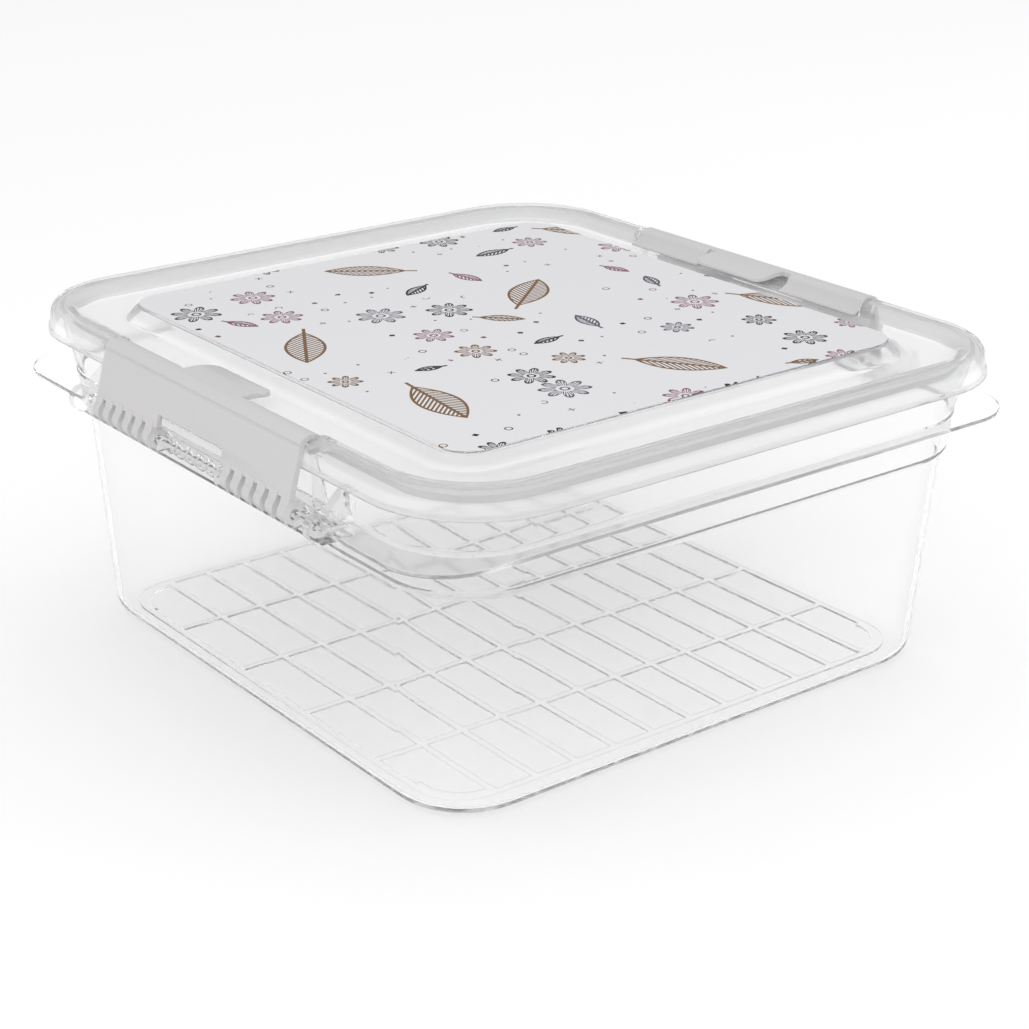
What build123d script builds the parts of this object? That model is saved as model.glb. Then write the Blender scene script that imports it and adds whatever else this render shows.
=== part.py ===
from build123d import *
import math
import os

# A square food container of clear plastic with a clear lift-off lid and two grey clips.
# Millimetres. X runs from clip to clip, Y along the clips, Z up. The origin is the middle
# of the flat underside. Half sizes are (along X, along Y), measured from the middle.

# container: wall, floor and the outlines of its outer face from the floor up
wall = 1.8
floor_thickness = 1.8
base_half = (109.0, 113.6)
base_radius = 27.0
base_edge_radius = 6.0
ledge_z = 77.6
ledge_half = (111.6, 119.7)
ledge_step = 2.2
flange_root_half = (114.8, 123.4)

# flange all round below the lid, and the flat band on each clip side where the wall
# above the ledge stays flush with the wall below it
flange_z = 93.4
flange_thickness = 1.6
flange_reach = (11.2, 6.3)
flange_radius = 22.0
flush_band_half = 50.0
flush_band_slope = 11.0

# ribs moulded on the floor: a rounded border and a grid inside it
rib_height = 1.0
rib_width = 2.4
rib_field_half = (100.0, 102.6)
rib_field_radius = 17.0
corner_rib_width = 4.2
rib_pitch_x = 16.4
rib_columns = 11
rib_pitch_y = 41.9
rib_rows = 4

# hinge on each clip side: a rod in a shallow trough, held by ears and lugs
rod_radius = 1.5
rod_beyond_flange = 0.0
ear_radius = 4.6
ear_thickness = 4.0
ear_inner_face = 72.5
ear_gusset_height = 11.1
ear_gusset_width = 2.0
lug_radius = 4.2
lug_thickness = 1.6
tooth_pitch = 6.8
teeth_per_leg = 6
bead_radius = 2.4
bead_length = 3.6
beads_in_window = 5
first_lug_gap = 0.2
end_web_thickness = 1.4
end_web_above_ledge = 0.7
trough_floor_thickness = 1.4
trough_back_thickness = 1.4
trough_edge_beyond_rod = 0.4

# lid: how far its skirt stands out beyond the wall at the flange, its wall, and the raised
# ridge that seats on the container's rim
lid_beyond_wall = (7.8, 11.3)
lid_radius = 38.6
lid_wall = 1.6
skirt_height = 10.0
skirt_bead_height = 2.2
skirt_bead_proud = 0.6
skirt_lean = 0.5
ridge_top_z = 117.0
ridge_outer_radius = 3.3
ridge_crown_width = 1.8
ridge_inner_radius = 4.4
ridge_foot_depth = 6.2
ridge_foot_reach = 3.0
ridge_fillet_height = 1.4

# lid: sunk channel inside the ridge and the raised centre panel with its label; the panel's
# foot is measured inwards from the skirt, its top inwards from the foot
panel_below_ridge = 0.8
panel_foot_inset = (24.7, 28.7)
panel_foot_radius = 16.5
panel_slope = (4.3, 4.8)
panel_radius = 12.0
label_margin = 0.6
label_thickness = 0.25

# clips: a plate with a hook over the ridge and two legs of teeth round the rod
clip_half_length = 61.0
clip_thickness = 1.8
clip_proud_of_ridge = 0.25
clip_top_bend_radius = 2.6
clip_proud_of_lid = 0.6
clip_bend_below_ridge = 2.8
clip_plate_foot = (0.5, 8.6)
clip_leg_foot = (1.3, 5.4)
clip_window_half = 20.4
clip_window_height = 9.2
ridge_drop_under_clip = 4.0
hook_start_before_ridge = 3.8
hook_draw_off = 0.11
hook_flank_width = 1.8
hook_thickness = 1.2
clip_toe_depth = 5.5
clip_toe_length = 0.4
tab_half_width = 18.0
tab_slot_width = 4.5
tab_flat = 5.0
tab_reach = 8.5
tab_drop = 1.4
tooth_wall = 1.65
tooth_mouth = 110.0

# fits, all between separate pieces
running_clearance = 0.35
side_clearance = 1.0
rim_notch_gap = 0.2

# how far a feature runs into the wall that it is moulded on
root_depth = 0.4
flange_edge_radius = 0.5
panel_edge_radius = 1.2

# travel: the clips open while the lid lifts off
lid_lift = 14.0
clip_opening = 135.0

# places that follow from the sizes above
flange_half = (flange_root_half[0] + flange_reach[0], flange_root_half[1] + flange_reach[1])
lid_half = (flange_root_half[0] + lid_beyond_wall[0], flange_root_half[1] + lid_beyond_wall[1])
panel_foot_half = (lid_half[0] - panel_foot_inset[0], lid_half[1] - panel_foot_inset[1])
panel_half = (panel_foot_half[0] - panel_slope[0], panel_foot_half[1] - panel_slope[1])
rod_x = flange_half[0] + rod_beyond_flange
rod_z = flange_z
ear_gusset_z = flange_z + ear_gusset_height
skirt_bottom_z = ridge_top_z - skirt_height
panel_top_z = ridge_top_z - panel_below_ridge
clip_plate_high = (lid_half[0] + clip_proud_of_lid, ridge_top_z - clip_bend_below_ridge)
clip_plate_low = (rod_x + clip_plate_foot[0], rod_z + clip_plate_foot[1])
clip_leg_low = (rod_x + clip_leg_foot[0], rod_z + clip_leg_foot[1])
clip_window_top_z = rod_z + clip_window_height
clip_toe_z = ridge_top_z - clip_toe_depth
rim_top_z = ridge_top_z - lid_wall
clip_crown_top_z = ridge_top_z + clip_proud_of_ridge
clip_crown_low_z = clip_crown_top_z - clip_thickness
ridge_sink = max(ridge_drop_under_clip, ridge_top_z - clip_crown_low_z + running_clearance)
channel_floor_z = ridge_top_z - ridge_foot_depth
crown_start = skirt_bead_proud + skirt_lean + ridge_outer_radius
crown_end = crown_start + ridge_crown_width
rim_half = (lid_half[0] - crown_start, lid_half[1] - crown_start)
rim_radius = lid_radius - crown_start
trough_floor_z = rod_z - rod_radius - running_clearance - tooth_wall - running_clearance
tooth_inner_radius = rod_radius + running_clearance
tooth_outer_radius = tooth_inner_radius + tooth_wall
leg_start = clip_window_half + first_lug_gap
end_web_top_z = ridge_top_z - ridge_sink - lid_wall - 2 * running_clearance
end_web_x = lid_half[0] - lid_wall - skirt_bead_proud - running_clearance


def outline(half, radius, z):
    """A rounded rectangle, flat at height z."""
    return Pos(0, 0, z) * RectangleRounded(2 * half[0], 2 * half[1], radius)


def inset(half, amount):
    """Half sizes moved inwards by an amount."""
    return (half[0] - amount, half[1] - amount)


def tapered(stations):
    """A solid through rounded rectangles, straight from each to the next."""
    return loft([outline(half, radius, z) for half, radius, z in stations], ruled=True)


def slab(half, radius, z_low, z_high):
    """A flat plate with a rounded rectangular outline."""
    return extrude(outline(half, radius, z_low), z_high - z_low)


def block(x_low, x_high, y_low, y_high, z_low, z_high):
    """A box between two corners."""
    size = (x_high - x_low, y_high - y_low, z_high - z_low)
    return Pos(x_low, y_low, z_low) * Box(*size, align=(Align.MIN, Align.MIN, Align.MIN))


def across(section, y_low, y_high):
    """A section drawn in X and Z, made solid from one Y to another."""
    plane = Plane(origin=(0, y_low, 0), x_dir=(1, 0, 0), z_dir=(0, -1, 0))
    return extrude(plane * section, y_high - y_low, dir=(0, 1, 0))


def both_sides(piece):
    """A piece with its mirror image on the opposite side in X."""
    return piece + mirror(piece, Plane.YZ)


def both_ends(piece):
    """A piece with its mirror image at the opposite end in Y."""
    return piece + mirror(piece, Plane.XZ)


def wall_stations(depth, z_floor):
    """The container's outlines from the floor to the rim, moved inwards by a depth."""
    upper_radius = base_radius + ledge_step
    upper_half = inset(ledge_half, -ledge_step)
    return [
        (inset(base_half, depth), base_radius - depth, z_floor),
        (inset(ledge_half, depth), base_radius - depth, ledge_z),
        (inset(upper_half, depth), upper_radius - depth, ledge_z + ledge_step),
        (inset(flange_root_half, depth), upper_radius + 1 - depth, flange_z),
        (inset(rim_half, depth), rim_radius - depth, rim_top_z),
    ]


def flush_band(depth):
    """What is cut from the upper wall so that it stays flush with the lower wall."""
    x_flush = ledge_half[0] - depth
    x_clear = ledge_half[0] + flush_band_slope
    slope_end = flush_band_half + flush_band_slope * (x_clear - x_flush) / ledge_step / 2
    band = Polygon(
        (x_flush, -flush_band_half - depth),
        (x_clear, -slope_end - depth),
        (x_clear, slope_end + depth),
        (x_flush, flush_band_half + depth),
        align=None,
    )
    bottom = ledge_z
    top = flange_z - flange_thickness * (1 - depth / wall)
    return both_sides(extrude(Pos(0, 0, bottom) * band, top - bottom))


def floor_ribs():
    """Border and grid on the floor, with a thicker stretch of border at each corner."""
    low = floor_thickness - root_depth
    high = floor_thickness + rib_height
    half_rib = rib_width / 2
    outer = slab(inset(rib_field_half, -half_rib), rib_field_radius + half_rib, low, high)
    inner = slab(inset(rib_field_half, half_rib), rib_field_radius - half_rib, low, high)
    field = slab(rib_field_half, rib_field_radius, low, high)
    ribs = outer - inner
    lines = []
    for i in range(rib_columns):
        x = (i - (rib_columns - 1) / 2) * rib_pitch_x
        lines.append(block(x - half_rib, x + half_rib, -rib_field_half[1], rib_field_half[1], low, high))
    for j in range(rib_rows):
        y = (j - (rib_rows - 1) / 2) * rib_pitch_y
        lines.append(block(-rib_field_half[0], rib_field_half[0], y - half_rib, y + half_rib, low, high))
    for line in lines:
        ribs += line & field
    centre = inset(rib_field_half, rib_field_radius)
    for sx in (-1, 1):
        for sy in (-1, 1):
            ring = Circle(rib_field_radius + half_rib) - Circle(rib_field_radius + half_rib - corner_rib_width)
            reach = rib_field_radius + rib_width
            quarter = Pos(sx * reach / 2, sy * reach / 2) * Rectangle(reach, reach)
            arc = Pos(sx * centre[0], sy * centre[1], low) * (ring & quarter)
            ribs += extrude(arc, high - low)
    return ribs


def ear(radius, gusset_z, y_low, y_high):
    """A plate round the rod that stands on the trough, with or without a gusset to the rim."""
    x_wall = flange_root_half[0] - wall / 2
    nose = Pos(rod_x, rod_z) * Circle(radius)
    low = trough_floor_z - trough_floor_thickness
    if gusset_z > flange_z:
        back_top = (rod_x - 0.4 * radius, rod_z + 0.86 * radius)
        wall_top = (x_wall + ear_gusset_width, gusset_z)
    else:
        back_top = (rod_x - 0.7 * radius, rod_z + 0.7 * radius)
        wall_top = (x_wall, gusset_z)
    back = Polygon(
        (x_wall, low),
        (rod_x, low),
        (rod_x + 0.8 * radius, rod_z - 0.6 * radius),
        (rod_x, rod_z),
        back_top,
        wall_top,
        (x_wall, gusset_z),
        align=None,
    )
    return across(nose + back, y_low, y_high)


def end_web():
    """The upright web past a clip's end, from the ledge up to below the lid's ridge."""
    x_wall = flange_root_half[0] - wall
    low = ledge_z + ledge_step + end_web_above_ledge
    web = Polygon(
        (x_wall, low),
        (end_web_x, low + end_web_x - x_wall),
        (end_web_x, end_web_top_z),
        (x_wall, end_web_top_z),
        align=None,
    )
    y = clip_half_length + side_clearance
    return across(web, y, y + end_web_thickness)


def hinge_side():
    """Trough, ears, webs, lugs, rod and beads along one clip side, at +X."""
    end = ear_inner_face + ear_thickness
    x_wall = flange_root_half[0] - wall / 2
    x_back = rod_x - tooth_outer_radius - running_clearance - trough_back_thickness
    trough_low = trough_floor_z - trough_floor_thickness
    hinge = block(x_wall, rod_x + trough_edge_beyond_rod, -end, end, trough_low, trough_floor_z)
    hinge += block(x_back, x_back + trough_back_thickness, -end, end, trough_low, flange_z)
    hinge += both_ends(ear(ear_radius, ear_gusset_z, ear_inner_face, end))
    hinge += both_ends(end_web())
    for k in range(teeth_per_leg + 1):
        y = leg_start + k * tooth_pitch
        hinge += both_ends(ear(lug_radius, flange_z, y, y + lug_thickness))
    rod = Pos(rod_x, 0, rod_z) * Rot(90, 0, 0) * Cylinder(rod_radius, 2 * end - 1)
    hinge += rod
    for k in range(beads_in_window):
        y = (k - (beads_in_window - 1) / 2) * tooth_pitch
        hinge += Pos(rod_x, y, rod_z) * Rot(90, 0, 0) * Cylinder(bead_radius, bead_length)
    return hinge


def container():
    """The box itself, with everything that is moulded in one with it."""
    outer = tapered(wall_stations(0, 0))
    outer = fillet(outer.edges().filter_by_position(Axis.Z, -0.01, 0.01), base_edge_radius)
    outer -= flush_band(0)
    inner = tapered(wall_stations(wall, floor_thickness))
    at_floor = inner.edges().filter_by_position(Axis.Z, floor_thickness - 0.01, floor_thickness + 0.01)
    inner = fillet(at_floor, base_edge_radius - wall)
    inner -= flush_band(wall)
    flange = slab(flange_half, flange_radius, flange_z - flange_thickness, flange_z)
    flange = fillet(flange.faces().filter_by(Axis.Z).edges(), flange_edge_radius)
    x_back = rod_x - tooth_outer_radius - running_clearance - trough_back_thickness
    gap = block(x_back, rod_x + 9, -ear_inner_face, ear_inner_face, flange_z - 3, flange_z + 3)
    flange -= both_sides(gap)
    body = outer + flange + both_sides(hinge_side())
    body -= inner
    notch_end = clip_half_length + side_clearance + lid_wall + rim_notch_gap + running_clearance
    notch_low = rim_top_z - ridge_sink - rim_notch_gap
    notch = block(rim_half[0] - 5 * wall, rim_half[0] + 3, -notch_end, notch_end, notch_low, rim_top_z + 2)
    body -= both_sides(notch)
    return body + floor_ribs()


def ridge_section(sink):
    """Section of skirt and ridge; x is the depth inwards from the skirt's lower edge."""
    top = ridge_top_z - sink
    foot_z = channel_floor_z
    lean_top = skirt_bead_proud + skirt_lean
    inner_centre = (crown_end, top - ridge_inner_radius)
    plate_x = crown_end + ridge_inner_radius + ridge_foot_reach
    thin = lid_wall
    foot_rise = (foot_z + ridge_fillet_height - inner_centre[1]) / ridge_inner_radius
    turn_end = max(10, math.degrees(math.asin(max(0, foot_rise))))
    with BuildSketch() as section:
        with BuildLine():
            Polyline(
                (thin, skirt_bottom_z),
                (0, skirt_bottom_z),
                (0, skirt_bottom_z + skirt_bead_height - skirt_bead_proud),
                (skirt_bead_proud, skirt_bottom_z + skirt_bead_height),
                (lean_top, top - ridge_outer_radius),
            )
            CenterArc((crown_start, top - ridge_outer_radius), ridge_outer_radius, 180, -90)
            Line((crown_start, top), (crown_end, top))
            CenterArc(inner_centre, ridge_inner_radius, 90, turn_end - 90)
            last = (
                inner_centre[0] + ridge_inner_radius * math.cos(math.radians(turn_end)),
                inner_centre[1] + ridge_inner_radius * math.sin(math.radians(turn_end)),
            )
            Polyline(
                last,
                (last[0] + 0.55, foot_z + 0.6),
                (last[0] + 1.15, foot_z),
                (plate_x, foot_z),
                (plate_x, foot_z - thin),
                (last[0] - 0.55, foot_z - thin),
            )
            under = ridge_inner_radius - thin
            first = (
                inner_centre[0] + under * math.cos(math.radians(turn_end)),
                inner_centre[1] + under * math.sin(math.radians(turn_end)),
            )
            Line((last[0] - 0.55, foot_z - thin), first)
            CenterArc(inner_centre, under, turn_end, 90 - turn_end)
            Line((crown_end, top - thin), (crown_start, top - thin))
            CenterArc((crown_start, top - ridge_outer_radius), ridge_outer_radius - thin, 90, 90)
            Line((lean_top + thin, top - ridge_outer_radius), (thin, skirt_bottom_z))
        make_face()
    return section.sketch


def ridge_ring():
    """Skirt and ridge carried round the lid's rounded outline."""
    hx, hy = lid_half
    r = lid_radius
    with BuildLine() as path:
        Line((hx, 0), (hx, hy - r))
        CenterArc((hx - r, hy - r), r, 0, 90)
        Line((hx - r, hy), (r - hx, hy))
        CenterArc((r - hx, hy - r), r, 90, 90)
        Line((-hx, hy - r), (-hx, r - hy))
        CenterArc((r - hx, r - hy), r, 180, 90)
        Line((r - hx, -hy), (hx - r, -hy))
        CenterArc((hx - r, r - hy), r, 270, 90)
        Line((hx, r - hy), (hx, 0))
    start = Plane(origin=(hx, 0, 0), x_dir=(-1, 0, 0), z_dir=(0, 1, 0))
    return sweep(start * ridge_section(0), path.wires()[0])


def lowered_ridge():
    """The stretch of ridge under a clip, sunk so that the clip lies flush, at +X."""
    end = clip_half_length + side_clearance
    plane = Plane(origin=(lid_half[0], -end, 0), x_dir=(-1, 0, 0), z_dir=(0, 1, 0))
    return extrude(plane * ridge_section(ridge_sink), 2 * end, dir=(0, 1, 0))


def ridge_step():
    """The upright web that closes the ridge at one end of a lowered stretch, at +X and +Y."""
    y = clip_half_length + side_clearance
    plane = Plane(origin=(lid_half[0], y, 0), x_dir=(-1, 0, 0), z_dir=(0, 1, 0))
    with BuildSketch() as web:
        with BuildLine():
            top = ridge_top_z
            low = top - ridge_sink - lid_wall
            lean_top = skirt_bead_proud + skirt_lean
            Line((lean_top + 0.2, low), (lean_top + 0.2, top - ridge_outer_radius))
            Line((lean_top + 0.2, top - ridge_outer_radius), (lean_top, top - ridge_outer_radius))
            CenterArc((crown_start, top - ridge_outer_radius), ridge_outer_radius, 180, -90)
            Line((crown_start, top), (crown_end, top))
            CenterArc((crown_end, top - ridge_inner_radius), ridge_inner_radius, 90, -80)
            edge = (
                crown_end + ridge_inner_radius * math.cos(math.radians(10)),
                top - ridge_inner_radius + ridge_inner_radius * math.sin(math.radians(10)),
            )
            Line(edge, (edge[0] - 0.2, low))
            Line((edge[0] - 0.2, low), (lean_top + 0.2, low))
        make_face()
    return extrude(plane * web.sketch, lid_wall, dir=(0, 1, 0))


def lid():
    """The lid, with the skirt, ridge, channel and raised panel in one."""
    body = ridge_ring()
    gap_end = clip_half_length + side_clearance
    foot_x = lid_half[0] - crown_end - ridge_inner_radius - ridge_foot_reach
    gap = block(foot_x, lid_half[0] + 2, -gap_end, gap_end, skirt_bottom_z - 1, ridge_top_z + 1)
    body -= both_sides(gap)
    body += both_sides(lowered_ridge())
    body += both_sides(both_ends(ridge_step()))
    foot_depth = crown_end + ridge_inner_radius + 1.6
    floor_low = channel_floor_z - lid_wall
    plate = slab(inset(lid_half, foot_depth), lid_radius - foot_depth, floor_low, channel_floor_z)
    raised = tapered([
        (panel_foot_half, panel_foot_radius, floor_low),
        (panel_foot_half, panel_foot_radius, channel_floor_z),
        (panel_half, panel_radius, panel_top_z),
    ])
    at_top = raised.edges().filter_by_position(Axis.Z, panel_top_z - 0.01, panel_top_z + 0.01)
    raised = fillet(at_top, panel_edge_radius)
    hollow = tapered([
        (inset(panel_foot_half, lid_wall), panel_foot_radius - lid_wall, floor_low),
        (inset(panel_half, lid_wall), panel_radius - lid_wall, panel_top_z - lid_wall),
    ])
    return body + plate + raised - hollow


def lid_label():
    """The printed sheet on top of the raised panel."""
    half = inset(panel_half, label_margin)
    return slab(half, panel_radius - label_margin, panel_top_z, panel_top_z + label_thickness)


def ridge_from_rod():
    """The lowered ridge's farthest point from the rod: its distance, and its angle inwards."""
    across_x = rod_x - lid_half[0] + crown_end
    up = ridge_top_z - ridge_sink - ridge_inner_radius - rod_z
    return math.hypot(across_x, up) + ridge_inner_radius, math.degrees(math.atan2(across_x, up))


def hook_reach(angle):
    """Distance from the rod to the hook's underside, at an angle inwards from upright.

    The underside draws away from the rod towards the toe, faster than the lid rises while
    the clip turns, so that the toe passes over the rising ridge.
    """
    widest, widest_angle = ridge_from_rod()
    rise = max(0, angle - widest_angle) * hook_draw_off
    return widest + running_clearance + rise * math.cos(math.radians(widest_angle))


def hook_point(angle, outwards=0):
    """A point of the hook's underside, or one moved outwards from it, as X and Z."""
    reach = hook_reach(angle) + outwards
    turn = math.radians(angle)
    return (rod_x - reach * math.sin(turn), rod_z + reach * math.cos(turn))


def hook_start():
    """The angle at which the hook's underside starts to follow the ridge."""
    return ridge_from_rod()[1] - hook_start_before_ridge


def toe_angle():
    """The angle at which the hook's underside has come down to the toe."""
    angle = hook_start()
    while hook_point(angle)[1] > clip_toe_z:
        angle += 0.25
    return angle


def clip_section():
    """Section of the plate, its bend and the hook, drawn in X and Z at +X."""
    t = clip_thickness
    crown_low = clip_crown_low_z
    first, last = hook_start(), toe_angle()
    angles = [first + (last - first) * k / 3 for k in range(4)]
    underside = [hook_point(angle) for angle in angles]
    outside = [hook_point(angle, hook_thickness) for angle in angles]
    crown_end_x = underside[0][0] + hook_flank_width
    toe_top = (outside[-1][0] - clip_toe_length, outside[-1][1] - 0.1)
    lean = math.atan2(clip_plate_low[0] - clip_plate_high[0], clip_plate_high[1] - clip_plate_low[1])
    back = (t * math.cos(lean), t * math.sin(lean))
    bend_x = clip_plate_high[0] - clip_top_bend_radius + 0.2
    crown_top = clip_crown_top_z
    with BuildSketch() as section:
        with BuildLine():
            Polyline((clip_leg_low[0] - t, clip_leg_low[1]), clip_leg_low, clip_plate_low, clip_plate_high)
            ThreePointArc(
                clip_plate_high,
                (clip_plate_high[0] - 0.55 * clip_top_bend_radius * 0.6,
                 crown_top - 0.3 * clip_top_bend_radius),
                (bend_x, crown_top),
            )
            Line((bend_x, crown_top), (crown_end_x, crown_top))
            Spline((crown_end_x, crown_top), *outside, tangents=((-1, -0.1), (-1, -0.75)))
            Polyline(outside[-1], toe_top, underside[-1])
            Spline(*reversed(underside))
            Spline(underside[0], (crown_end_x, crown_low), tangents=((1, 0.9), (1, 0.15)))
            Line((crown_end_x, crown_low), (bend_x - 0.5, crown_low))
            Polyline(
                (bend_x - 0.5, crown_low),
                (clip_plate_high[0] - back[0], clip_plate_high[1] - back[1] - 0.6),
                (clip_plate_low[0] - back[0], clip_plate_low[1] - back[1]),
                (clip_leg_low[0] - t, clip_leg_low[1]),
            )
        make_face()
    return section.sketch


def tab_section():
    """Section of the finger tab, which goes on inwards where the hook turns down."""
    top = clip_crown_top_z
    start = hook_point(hook_start())[0] + hook_flank_width + 0.6
    knee = start - tab_flat
    with BuildSketch() as section:
        with BuildLine():
            Polyline(
                (start, top), (knee, top), (knee - tab_reach, top - tab_drop),
                (knee - tab_reach, top - tab_drop - clip_thickness * 0.8),
                (knee, top - clip_thickness), (start, top - clip_thickness), (start, top),
            )
        make_face()
    return section.sketch


def tooth_section():
    """Section of one tooth: a ring round the rod, open inwards and down, and its neck."""
    ring = Pos(rod_x, rod_z) * (Circle(tooth_outer_radius) - Circle(tooth_inner_radius))
    reach = 3 * tooth_outer_radius
    turn = math.radians(tooth_mouth / 2)
    mouth = Polygon(
        (0, 0), (-reach * math.sin(turn), -reach * math.cos(turn)), (0, -reach * 1.6),
        (reach * math.sin(turn), -reach * math.cos(turn)), align=None,
    )
    ring -= Pos(rod_x, rod_z) * Rot(0, 0, -45) * mouth
    neck = Polygon(
        (clip_leg_low[0] - clip_thickness, clip_leg_low[1] + 0.5),
        (clip_leg_low[0], clip_leg_low[1] + 0.5),
        (rod_x + 2.6, rod_z + 2.0),
        (rod_x - 0.4, rod_z + tooth_outer_radius - 0.6),
        align=None,
    )
    return ring + neck


def clip():
    """One clip at +X: plate and hook, window, finger tab and the teeth of both legs."""
    body = across(clip_section(), -clip_half_length, clip_half_length)
    toe_x = hook_point(toe_angle(), hook_thickness)[0] - clip_toe_length - 1
    hook_x = hook_point(hook_start())[0] + hook_flank_width
    centre_gap = tab_half_width + tab_slot_width
    body -= block(toe_x - 2, hook_x, -centre_gap, centre_gap, clip_toe_z - 3, ridge_top_z + 3)
    body += across(tab_section(), -tab_half_width, tab_half_width)
    body -= block(rod_x - 9, rod_x + 9, -clip_window_half, clip_window_half, rod_z - 9, clip_window_top_z)
    gap = (tooth_pitch - lug_thickness - 2 * running_clearance)
    for k in range(teeth_per_leg):
        y = leg_start + lug_thickness + running_clearance + k * tooth_pitch
        body += both_ends(across(tooth_section(), y, y + gap))
    return body


os.makedirs("parts", exist_ok=True)
right_clip = clip()
nodes = {
    "container": container(),
    "lid": lid(),
    "lid_label": lid_label(),
    "clip_right": right_clip,
    "clip_left": mirror(right_clip, Plane.YZ),
}
for name, shape in nodes.items():
    print(name, "solids", len(shape.solids()), "volume", round(shape.volume, 1))
    export_step(shape, f"parts/{name}.step")
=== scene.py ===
import math
import bpy
import bmesh
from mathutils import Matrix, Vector


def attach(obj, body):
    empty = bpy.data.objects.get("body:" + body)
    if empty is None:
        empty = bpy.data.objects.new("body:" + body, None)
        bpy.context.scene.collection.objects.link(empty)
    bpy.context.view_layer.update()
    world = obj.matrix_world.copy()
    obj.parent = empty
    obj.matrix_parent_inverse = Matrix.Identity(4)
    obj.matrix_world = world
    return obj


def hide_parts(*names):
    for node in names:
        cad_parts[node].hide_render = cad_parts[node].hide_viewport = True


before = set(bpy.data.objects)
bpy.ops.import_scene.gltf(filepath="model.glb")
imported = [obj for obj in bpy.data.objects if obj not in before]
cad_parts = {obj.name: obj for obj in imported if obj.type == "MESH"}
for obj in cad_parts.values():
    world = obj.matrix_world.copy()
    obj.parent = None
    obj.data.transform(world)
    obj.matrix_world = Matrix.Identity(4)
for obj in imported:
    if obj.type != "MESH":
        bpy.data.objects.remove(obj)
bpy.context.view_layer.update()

# Camera: the photograph's angle, from the front left and above, with a long lens.
camera_place = (-0.4521, -0.5933, 0.3449)
camera_target = (0.06314, 0.07598, 0.0026)
camera_lens = 77.87

bpy.ops.object.select_all(action="DESELECT")
bpy.ops.object.camera_add(location=camera_place)
camera = bpy.context.object
camera.name = "studio_camera"
towards = Vector(camera_target) - Vector(camera_place)
camera.rotation_euler = towards.to_track_quat("-Z", "Y").to_euler()
camera.data.lens = camera_lens
camera.data.sensor_width = 36
camera.data.clip_start = 0.01
bpy.context.scene.camera = camera
bpy.context.scene.view_settings.view_transform = "Standard"

# Container shell: one clear injection-moulded box. The wall leans out to a small ledge, then
# goes up past a flange to a rounded rim, and stays flush on each clip side. Heights and half
# sizes are millimetres; a closed skin of outlines goes round the wall, outside and inside.
mm = 0.001
corner_steps = 14
wall = 1.8
base_half, base_radius, base_edge = (109.0, 113.6), 27.0, 6.0
ledge_half, ledge_z, ledge_step = (111.6, 119.7), 77.6, 2.2
upper_radius = base_radius + ledge_step
flange_root, flange_low, flange_top = (114.8, 123.4), 91.8, 93.4
flange_half, flange_radius, flange_edge = (126.0, 129.7), 22.0, 0.6
rim_half, rim_radius, rim_z = (118.2, 130.3), 34.2, 115.32
flush_end, flush_slope_end, flush_lean = 50.0, 61.0, 0.03
flush_low, flush_inner_top, flush_x_range = 77.7, 93.0, (105, 115.2)
notch_end, notch_slope_end, notch_drop = 64.15, 64.7, 4.1
notch_start_x, notch_low = 112, 113
draft = 0.04


def new_piece(name):
    """Starts an empty piece in edit mode, with nothing else selected."""
    bpy.ops.object.select_all(action="DESELECT")
    bpy.ops.mesh.primitive_plane_add(size=1)
    piece = bpy.context.object
    piece.name = name
    piece.data.name = name
    bpy.ops.object.mode_set(mode="EDIT")
    bpy.ops.mesh.select_all(action="SELECT")
    bpy.ops.mesh.delete(type="VERT")
    return piece


def pick(test):
    """Selects the points of the open piece whose place, in mm, passes a test."""
    mesh = bpy.context.object.data
    bpy.ops.mesh.select_mode(type="VERT")
    bpy.ops.mesh.select_all(action="DESELECT")
    form = bmesh.from_edit_mesh(mesh)
    for point in form.verts:
        if test(point.co / mm):
            point.select_set(True)
    form.select_flush_mode()
    bmesh.update_edit_mesh(mesh)


def on_outline(point, outline):
    """True for a point, in mm, on a rounded rectangle (half x, half y, radius, height)."""
    half_x, half_y, radius, z = outline
    across = max(abs(point.x) - half_x + radius, 0)
    along = max(abs(point.y) - half_y + radius, 0)
    return abs(point.z - z) < 0.004 and abs(math.hypot(across, along) - radius) < 0.03


def draw_outline(outline, keep_face):
    """Draws a rounded rectangle: a plane at its size, with its four corners bevelled round."""
    half_x, half_y, radius, z = outline
    bpy.ops.mesh.select_mode(type="VERT")
    bpy.ops.mesh.select_all(action="DESELECT")
    bpy.ops.mesh.primitive_plane_add(size=2 * mm, location=(0, 0, z * mm))
    bpy.ops.transform.resize(value=(half_x, half_y, 1), center_override=(0, 0, z * mm))
    bpy.ops.mesh.bevel(
        offset_type="OFFSET", offset=radius * mm, segments=corner_steps, affect="VERTICES"
    )
    if not keep_face:
        bpy.ops.mesh.delete(type="ONLY_FACE")


def skin(outlines, closed_ring=False):
    """Draws outlines one after another and bridges each to the next; the ends keep their faces."""
    last = len(outlines) - 1
    for i, outline in enumerate(outlines):
        draw_outline(outline, keep_face=not closed_ring and i in (0, last))
    pairs = list(zip(outlines, outlines[1:]))
    if closed_ring:
        pairs.append((outlines[-1], outlines[0]))
    for pair in pairs:
        mesh = bpy.context.object.data
        bpy.ops.mesh.select_mode(type="EDGE")
        bpy.ops.mesh.select_all(action="DESELECT")
        form = bmesh.from_edit_mesh(mesh)
        for edge in form.edges:
            ends = [point.co / mm for point in edge.verts]
            if any(all(on_outline(end, outline) for end in ends) for outline in pair):
                edge.select_set(True)
        bmesh.update_edit_mesh(mesh)
        bpy.ops.mesh.bridge_edge_loops()


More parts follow.
